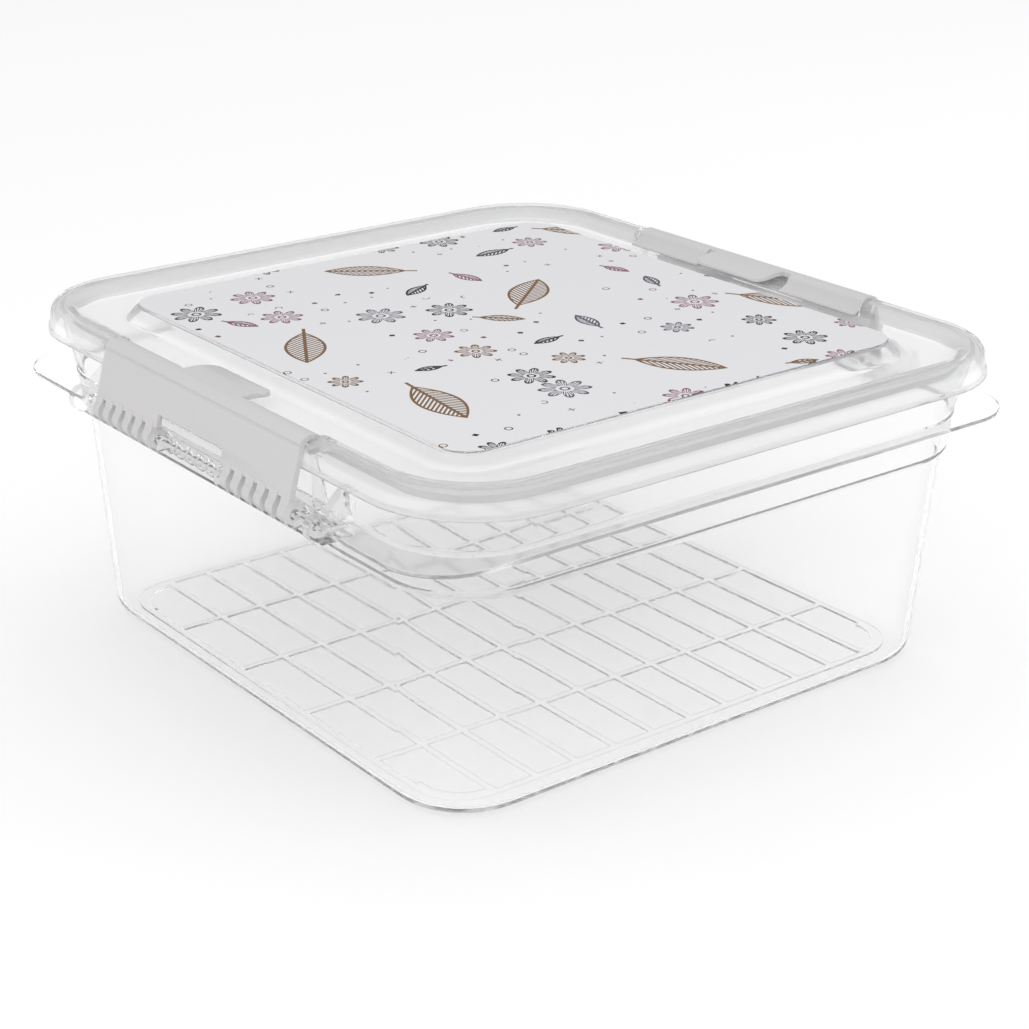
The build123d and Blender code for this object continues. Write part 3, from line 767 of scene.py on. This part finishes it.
def petals(tree, x, y, size, width):
    """A flower of petals hatched along their length, with a ring at its heart."""
    distance = how_far(tree, x, y)
    turn = reckon(tree, "ARCTAN2", y, x)
    lobe = reckon(tree, "COSINE", reckon(tree, "MULTIPLY", turn, petal_count / 2))
    swell = reckon(tree, "POWER", reckon(tree, "ABSOLUTE", lobe), 0.7)
    reach = reckon(tree, "MULTIPLY", size, reckon(tree, "MULTIPLY_ADD", swell, 0.72, 0.28))
    outline = line_at(tree, reckon(tree, "SUBTRACT", distance, reach), width * 1.5)
    from_heart = reckon(tree, "SUBTRACT", distance, reckon(tree, "MULTIPLY", size, heart_radius))
    heart = line_at(tree, from_heart, width)
    rays = reckon(tree, "COSINE", reckon(tree, "MULTIPLY", turn, petal_hatches))
    hatches = reckon(tree, "GREATER_THAN", rays, 0.1)
    past_start = reckon(tree, "GREATER_THAN", distance, reckon(tree, "MULTIPLY", size, petal_start))
    in_petal = reckon(tree, "MULTIPLY", reckon(tree, "LESS_THAN", distance, reach), past_start)
    return any_of(tree, outline, heart, reckon(tree, "MULTIPLY", hatches, in_petal))


def leaf(tree, x, y, size, width, veins):
    """A leaf: its stem, its pointed oval outline and its slanting veins."""
    share = reckon(tree, "DIVIDE", y, size)
    taper = reckon(tree, "SUBTRACT", 1.0, reckon(tree, "POWER", share, 2.0), clamp=True)
    side = reckon(tree, "ABSOLUTE", x)
    edge = reckon(tree, "MULTIPLY", reckon(tree, "MULTIPLY", size, leaf_breadth), taper)
    room = reckon(tree, "SUBTRACT", edge, side)
    inside_leaf = reckon(tree, "GREATER_THAN", room, 0.0)
    outline = reckon(tree, "MULTIPLY", inside_leaf, reckon(tree, "LESS_THAN", room, width))
    slant = reckon(tree, "SUBTRACT", y, reckon(tree, "MULTIPLY", side, vein_slant))
    ripple = reckon(tree, "PINGPONG", reckon(tree, "ADD", slant, 100.0), veins / 2)
    vein = reckon(tree, "MULTIPLY", inside_leaf, reckon(tree, "LESS_THAN", ripple, width * 0.55))
    along_stem = reckon(tree, "ABSOLUTE", reckon(tree, "MULTIPLY_ADD", size, stem_shift, y))
    stem_span = reckon(tree, "LESS_THAN", along_stem, reckon(tree, "MULTIPLY", size, stem_reach))
    stem = reckon(tree, "MULTIPLY", stem_span, reckon(tree, "LESS_THAN", side, width * 0.6))
    return any_of(tree, outline, vein, stem)


def ink_of(tree, share):
    """One of the print's four inks by a number from 0 to 1."""
    inks = tree.nodes.new("ShaderNodeValToRGB")
    inks.color_ramp.interpolation = "CONSTANT"
    for position, _ in print_inks[2:]:
        inks.color_ramp.elements.new(position)
    for element, (position, colour) in zip(inks.color_ramp.elements, print_inks):
        element.position, element.color = position, colour
    tree.links.new(share, inks.inputs["Fac"])
    return inks.outputs["Color"]


def printed_label():
    """The label's material, with its print worked out in mm on the film. A place's first number,
    from 0 to 1, picks what stands there: a flower, a sprig or nothing, and for the small print
    a dot, a ring, a diamond, a cross or nothing."""
    material = bpy.data.materials.new("printed_label_film")
    material.use_nodes = True
    tree = material.node_tree
    tree.nodes.clear()
    output = tree.nodes.new("ShaderNodeOutputMaterial")
    film = tree.nodes.new("ShaderNodeBsdfPrincipled")
    place = tree.nodes.new("ShaderNodeTexCoord")
    sheet = tree.nodes.new("ShaderNodeMapping")
    sheet.inputs["Scale"].default_value = (1 / mm, 1 / mm, 0)
    sheet.inputs["Location"].default_value = print_shift
    tree.links.new(place.outputs["Object"], sheet.inputs["Vector"])
    on_sheet = sheet.outputs[0]
    big_x, big_y, big, _ = scattered(tree, on_sheet, leaf_spacing, leaf_scatter)
    mid_x, mid_y, mid, mid_place = scattered(tree, on_sheet, flower_spacing, flower_scatter)
    small_x, small_y, small, _ = scattered(tree, on_sheet, bit_spacing, bit_scatter)
    from_big_x, from_big_y, _, _ = scattered(tree, mid_place, leaf_spacing, leaf_scatter)
    mid_from_big = how_far(tree, from_big_x, from_big_y)
    room_for_mid = reckon(tree, "GREATER_THAN", mid_from_big, flower_from_leaf)
    big_x, big_y = turned(tree, big_x, big_y, big[0])
    big_size = spread(tree, big[1], *leaf_lengths)
    big_leaf = leaf(tree, big_x, big_y, big_size, width=1.0, veins=2.2)
    clear_of_big = reckon(tree, "GREATER_THAN", how_far(tree, big_x, big_y), bit_from_leaf)
    mid_distance = how_far(tree, mid_x, mid_y)
    mid_x, mid_y = turned(tree, mid_x, mid_y, mid[1])
    mid_size = spread(tree, mid[2], *flower_sizes)
    flower = petals(tree, mid_x, mid_y, mid_size, width=0.75)
    flower = reckon(tree, "MULTIPLY", flower, within(tree, mid[0], -1.0, flowers_up_to))
    sprig = leaf(tree, mid_x, mid_y, mid_size, width=0.85, veins=1.9)
    sprig = reckon(tree, "MULTIPLY", sprig, within(tree, mid[0], flowers_up_to, sprigs_up_to))
    mid_print = reckon(tree, "MULTIPLY", any_of(tree, flower, sprig), room_for_mid)
    small_distance = how_far(tree, small_x, small_y)
    small_x, small_y = turned(tree, small_x, small_y, small[1])
    across, along = reckon(tree, "ABSOLUTE", small_x), reckon(tree, "ABSOLUTE", small_y)
    dot = reckon(tree, "LESS_THAN", small_distance, dot_radius)
    ring = line_at(tree, reckon(tree, "SUBTRACT", small_distance, ring_radius), ring_line)
    diamond = reckon(tree, "LESS_THAN", reckon(tree, "ADD", across, along), diamond_reach)
    cross_bars = reckon(tree, "LESS_THAN", reckon(tree, "MINIMUM", across, along), cross_line)
    cross_reach = reckon(tree, "LESS_THAN", reckon(tree, "MAXIMUM", across, along), cross_arm)
    cross = reckon(tree, "MULTIPLY", cross_bars, cross_reach)
    bits = any_of(
        tree,
        reckon(tree, "MULTIPLY", dot, within(tree, small[0], -1.0, dots_up_to)),
        reckon(tree, "MULTIPLY", ring, within(tree, small[0], dots_up_to, rings_up_to)),
        reckon(tree, "MULTIPLY", diamond, within(tree, small[0], rings_up_to, diamonds_up_to)),
        reckon(tree, "MULTIPLY", cross, within(tree, small[0], diamonds_up_to, crosses_up_to)),
    )
    past_mid = reckon(tree, "GREATER_THAN", mid_distance, bit_from_flower)
    clear_of_mid = reckon(tree, "MAXIMUM", past_mid, reckon(tree, "GREATER_THAN", mid[0], sprigs_up_to))
    bits = reckon(tree, "MULTIPLY", reckon(tree, "MULTIPLY", bits, clear_of_big), clear_of_mid)
    flow = place_flow(tree, 30.0, 1500.0, 0.5)
    ground = blend_colours(tree, flow.outputs["Grain"], *film_tones)
    tone = blend_colours(tree, bits, ground, ink_of(tree, small[2]))
    tone = blend_colours(tree, mid_print, tone, ink_of(tree, mid[1]))
    tone = blend_colours(tree, big_leaf, tone, leaf_ink)
    tree.links.new(tone, film.inputs["Base Color"])
    tree.links.new(spread(tree, flow.outputs["Grain"], 0.38, 0.52), film.inputs["Roughness"])
    tree.links.new(bump_from(tree, flow.outputs["Height"], 0.2, 0.0001), film.inputs["Normal"])
    film.inputs["Specular IOR Level"].default_value = 0.35
    tree.links.new(film.outputs[0], output.inputs["Surface"])
    return material


dress(label, printed_label())
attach(label, "lid_body")
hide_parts("lid_label")

# Clips: opaque pale grey mouldings. Each is a leaning plate with a rolled top that hooks over
# the ridge, a flat finger tab between two slots, and two legs of teeth round the hinge rod.
clip_end, clip_edge = 61.0, 0.45
clip_tones = ((0.705, 0.695, 0.7, 1), (0.765, 0.752, 0.758, 1))
window_half, window_x, window_z = 20.4, (117, 132), (90, 102.6)
tab_half, tab_slot, tab_corner = 18.0, 4.5, 5.0
tab_cut_x, tab_cut_z = (100, 117.2), (108, 121)
trim_half, trim_middle_x, trim_low, trim_height = 12, 116.5, 110, 12
tooth_outer, tooth_inner, tooth_width, tooth_gap = 3.5, 1.85, 4.5, 0.35
hook_top, hook_low = 117.25, 115.45

clip_outline = [
    (125.5, 97.95), (127.4, 97.95), (126.95, 100.2), (126.5, 102.0), (123.27, 113.7),
    (122.6, 114.3), (122.6, 114.6), (123.05, 114.95), (122.85, 115.5), (122.35, 116.1),
    (121.5, 116.75), (120.4, 117.2), (119.5, hook_top), (117.6, hook_top), (116.7, 117.0),
    (116.0, 116.5), (115.5, 115.8), (115.15, 115.0), (114.75, 114.25), (114.1, 113.6),
    (113.2, 113.1), (112.2, 112.65), (111.2, 112.45), (110.75, 112.2), (110.65, 111.8),
    (110.85, 111.5), (111.2, 111.5), (111.87, 111.81), (112.7, 112.1), (113.58, 112.52),
    (114.4, 112.95), (115.15, 113.45), (115.75, 114.0), (116.15, 114.7), (116.6, 115.25),
    (117.3, hook_low), (119.6, hook_low), (120.6, 115.2), (121.3, 114.3), (121.55, 113.2),
    (124.75, 101.5), (125.1, 100.0),
]
tooth_outline = arc((rod_x, rod_z), tooth_outer, -80, 170, 20)
tooth_outline += arc((rod_x, rod_z), tooth_inner, 170, -80, 16)
neck_outline = [(125.5, 99.4), (127.3, 99.4), (127.9, 97.3), (128.6, 95.4), (126.8, 96.0), (125.6, 96.3)]
tab_outline = [
    (118.0, hook_top), (113.4, hook_top), (111.8, 117.1), (105.2, 116.05), (104.6, 115.7),
    (104.55, 115.1), (105.0, 114.75), (111.8, 115.55), (113.4, 115.6), (118.0, hook_low + 0.1),
]

clip = new_piece("clip_right_plate")
add_section(clip_outline, -clip_end, clip_end)
close_piece(clip, 30)
cuts = new_piece("clip_cuts")
tab_cut_half = tab_half + tab_slot
add_block((tab_cut_x[0], -tab_cut_half, tab_cut_z[0]), (tab_cut_x[1], tab_cut_half, tab_cut_z[1]))
add_block((window_x[0], -window_half, window_z[0]), (window_x[1], window_half, window_z[1]))
close_piece(cuts, 30)
merge_in(clip, cuts, "DIFFERENCE")
tab = new_piece("clip_tab")
add_section(tab_outline, -tab_half, tab_half)
close_piece(tab, 30)
trim = new_piece("tab_corners")
draw_outline((trim_half, tab_half, tab_corner, trim_low), keep_face=True)
bpy.ops.mesh.extrude_region_move(TRANSFORM_OT_translate={"value": (0, 0, trim_height * mm)})
bpy.ops.mesh.select_all(action="SELECT")
bpy.ops.transform.translate(value=(trim_middle_x * mm, 0, 0))
close_piece(trim, 30)
merge_in(tab, trim, "INTERSECT")
merge_in(clip, tab)
finish_with(
    clip, "BEVEL", width=clip_edge * mm, segments=3, limit_method="ANGLE", angle_limit=math.radians(50)
)
teeth = new_piece("clip_teeth")
for end in (-1, 1):
    for k in range(lug_count - 1):
        start = lug_start + lug_width + tooth_gap + k * lug_pitch
        low, high = sorted((end * start, end * (start + tooth_width)))
        add_section(tooth_outline, low, high)
        add_section(neck_outline, low, high)
close_piece(teeth, 40)
merge_in(clip, teeth)
close_piece(clip, 35)
even_faces(clip)


def clip_grey():
    """Opaque pale grey plastic with a satin face and a fine grain of slightly paler spots."""
    material = bpy.data.materials.new("clip_grey_plastic")
    material.use_nodes = True
    tree = material.node_tree
    tree.nodes.clear()
    output = tree.nodes.new("ShaderNodeOutputMaterial")
    plastic = tree.nodes.new("ShaderNodeBsdfPrincipled")
    flow = place_flow(tree, 22.0, 2200.0, 0.35)
    tone = blend_colours(tree, flow.outputs["Grain"], *clip_tones)
    tree.links.new(tone, plastic.inputs["Base Color"])
    tree.links.new(spread(tree, flow.outputs["Grain"], 0.36, 0.5), plastic.inputs["Roughness"])
    tree.links.new(bump_from(tree, flow.outputs["Height"], 0.3, 0.00012), plastic.inputs["Normal"])
    plastic.inputs["Specular IOR Level"].default_value = 0.4
    tree.links.new(plastic.outputs[0], output.inputs["Surface"])
    return material


dress(clip, clip_grey())
clip_copy = mirrored_copy(clip, "clip_left_plate")
for piece, node in ((clip, "clip_right"), (clip_copy, "clip_left")):
    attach(piece, node + "_body")
    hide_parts(node)

# Studio: a plain white floor and surroundings that show white to the camera and through clear
# plastic, and two plain soft lamps above, at the front left and at the right. Each lamp is its
# place and size in metres and its power.
soft_lamps = (((-1.1, -1.0, 1.1), 1.1, 7.0), ((1.2, -0.3, 1.3), 1.4, 3.0))
surround_level, gloss_level = 0.72, 0.42
floor_size, floor_z = 12, -0.0002
floor_tone, floor_glow, floor_glow_through = (0.82, 0.82, 0.82, 1), 0.31, 0.22


def white_to_eye(tree, path):
    """1 for rays that show the surroundings, from the camera and through clear plastic."""
    return reckon(tree, "MAXIMUM", path.outputs["Is Camera Ray"], path.outputs["Is Transmission Ray"])


bpy.ops.object.select_all(action="DESELECT")
bpy.ops.mesh.primitive_plane_add(size=floor_size, location=(0, 0, floor_z))
studio_floor = bpy.context.object
studio_floor.name = "studio_floor"
floor_white = bpy.data.materials.new("studio_floor_white")
floor_white.use_nodes = True
tree = floor_white.node_tree
paper = tree.nodes["Principled BSDF"]
paper.inputs["Base Color"].default_value = floor_tone
paper.inputs["Roughness"].default_value = 0.9
paper.inputs["Specular IOR Level"].default_value = 0.0
paper.inputs["Emission Color"].default_value = (1, 1, 1, 1)
path = tree.nodes.new("ShaderNodeLightPath")
glow = reckon(tree, "MULTIPLY_ADD", path.outputs["Is Transmission Ray"], floor_glow_through, floor_glow)
seen = reckon(tree, "MAXIMUM", white_to_eye(tree, path), path.outputs["Is Glossy Ray"])
tree.links.new(reckon(tree, "MULTIPLY", seen, glow), paper.inputs["Emission Strength"])
dress(studio_floor, floor_white)

world = bpy.data.worlds.new("studio_white")
bpy.context.scene.world = world
world.use_nodes = True
tree = world.node_tree
surround = tree.nodes["Background"]
path = tree.nodes.new("ShaderNodeLightPath")
level = reckon(tree, "MULTIPLY_ADD", white_to_eye(tree, path), 1 - surround_level, surround_level)
gloss_drop = reckon(tree, "MULTIPLY", path.outputs["Is Glossy Ray"], surround_level - gloss_level)
level = reckon(tree, "SUBTRACT", level, gloss_drop)
tree.links.new(level, surround.inputs["Strength"])
surround.inputs["Color"].default_value = (1, 1, 1, 1)
for place, size, power in soft_lamps:
    bpy.ops.object.light_add(type="AREA", location=place)
    lamp = bpy.context.object
    lamp.data.size = size
    lamp.data.energy = power
    lamp.rotation_euler = (-Vector(place)).to_track_quat("-Z", "Y").to_euler()
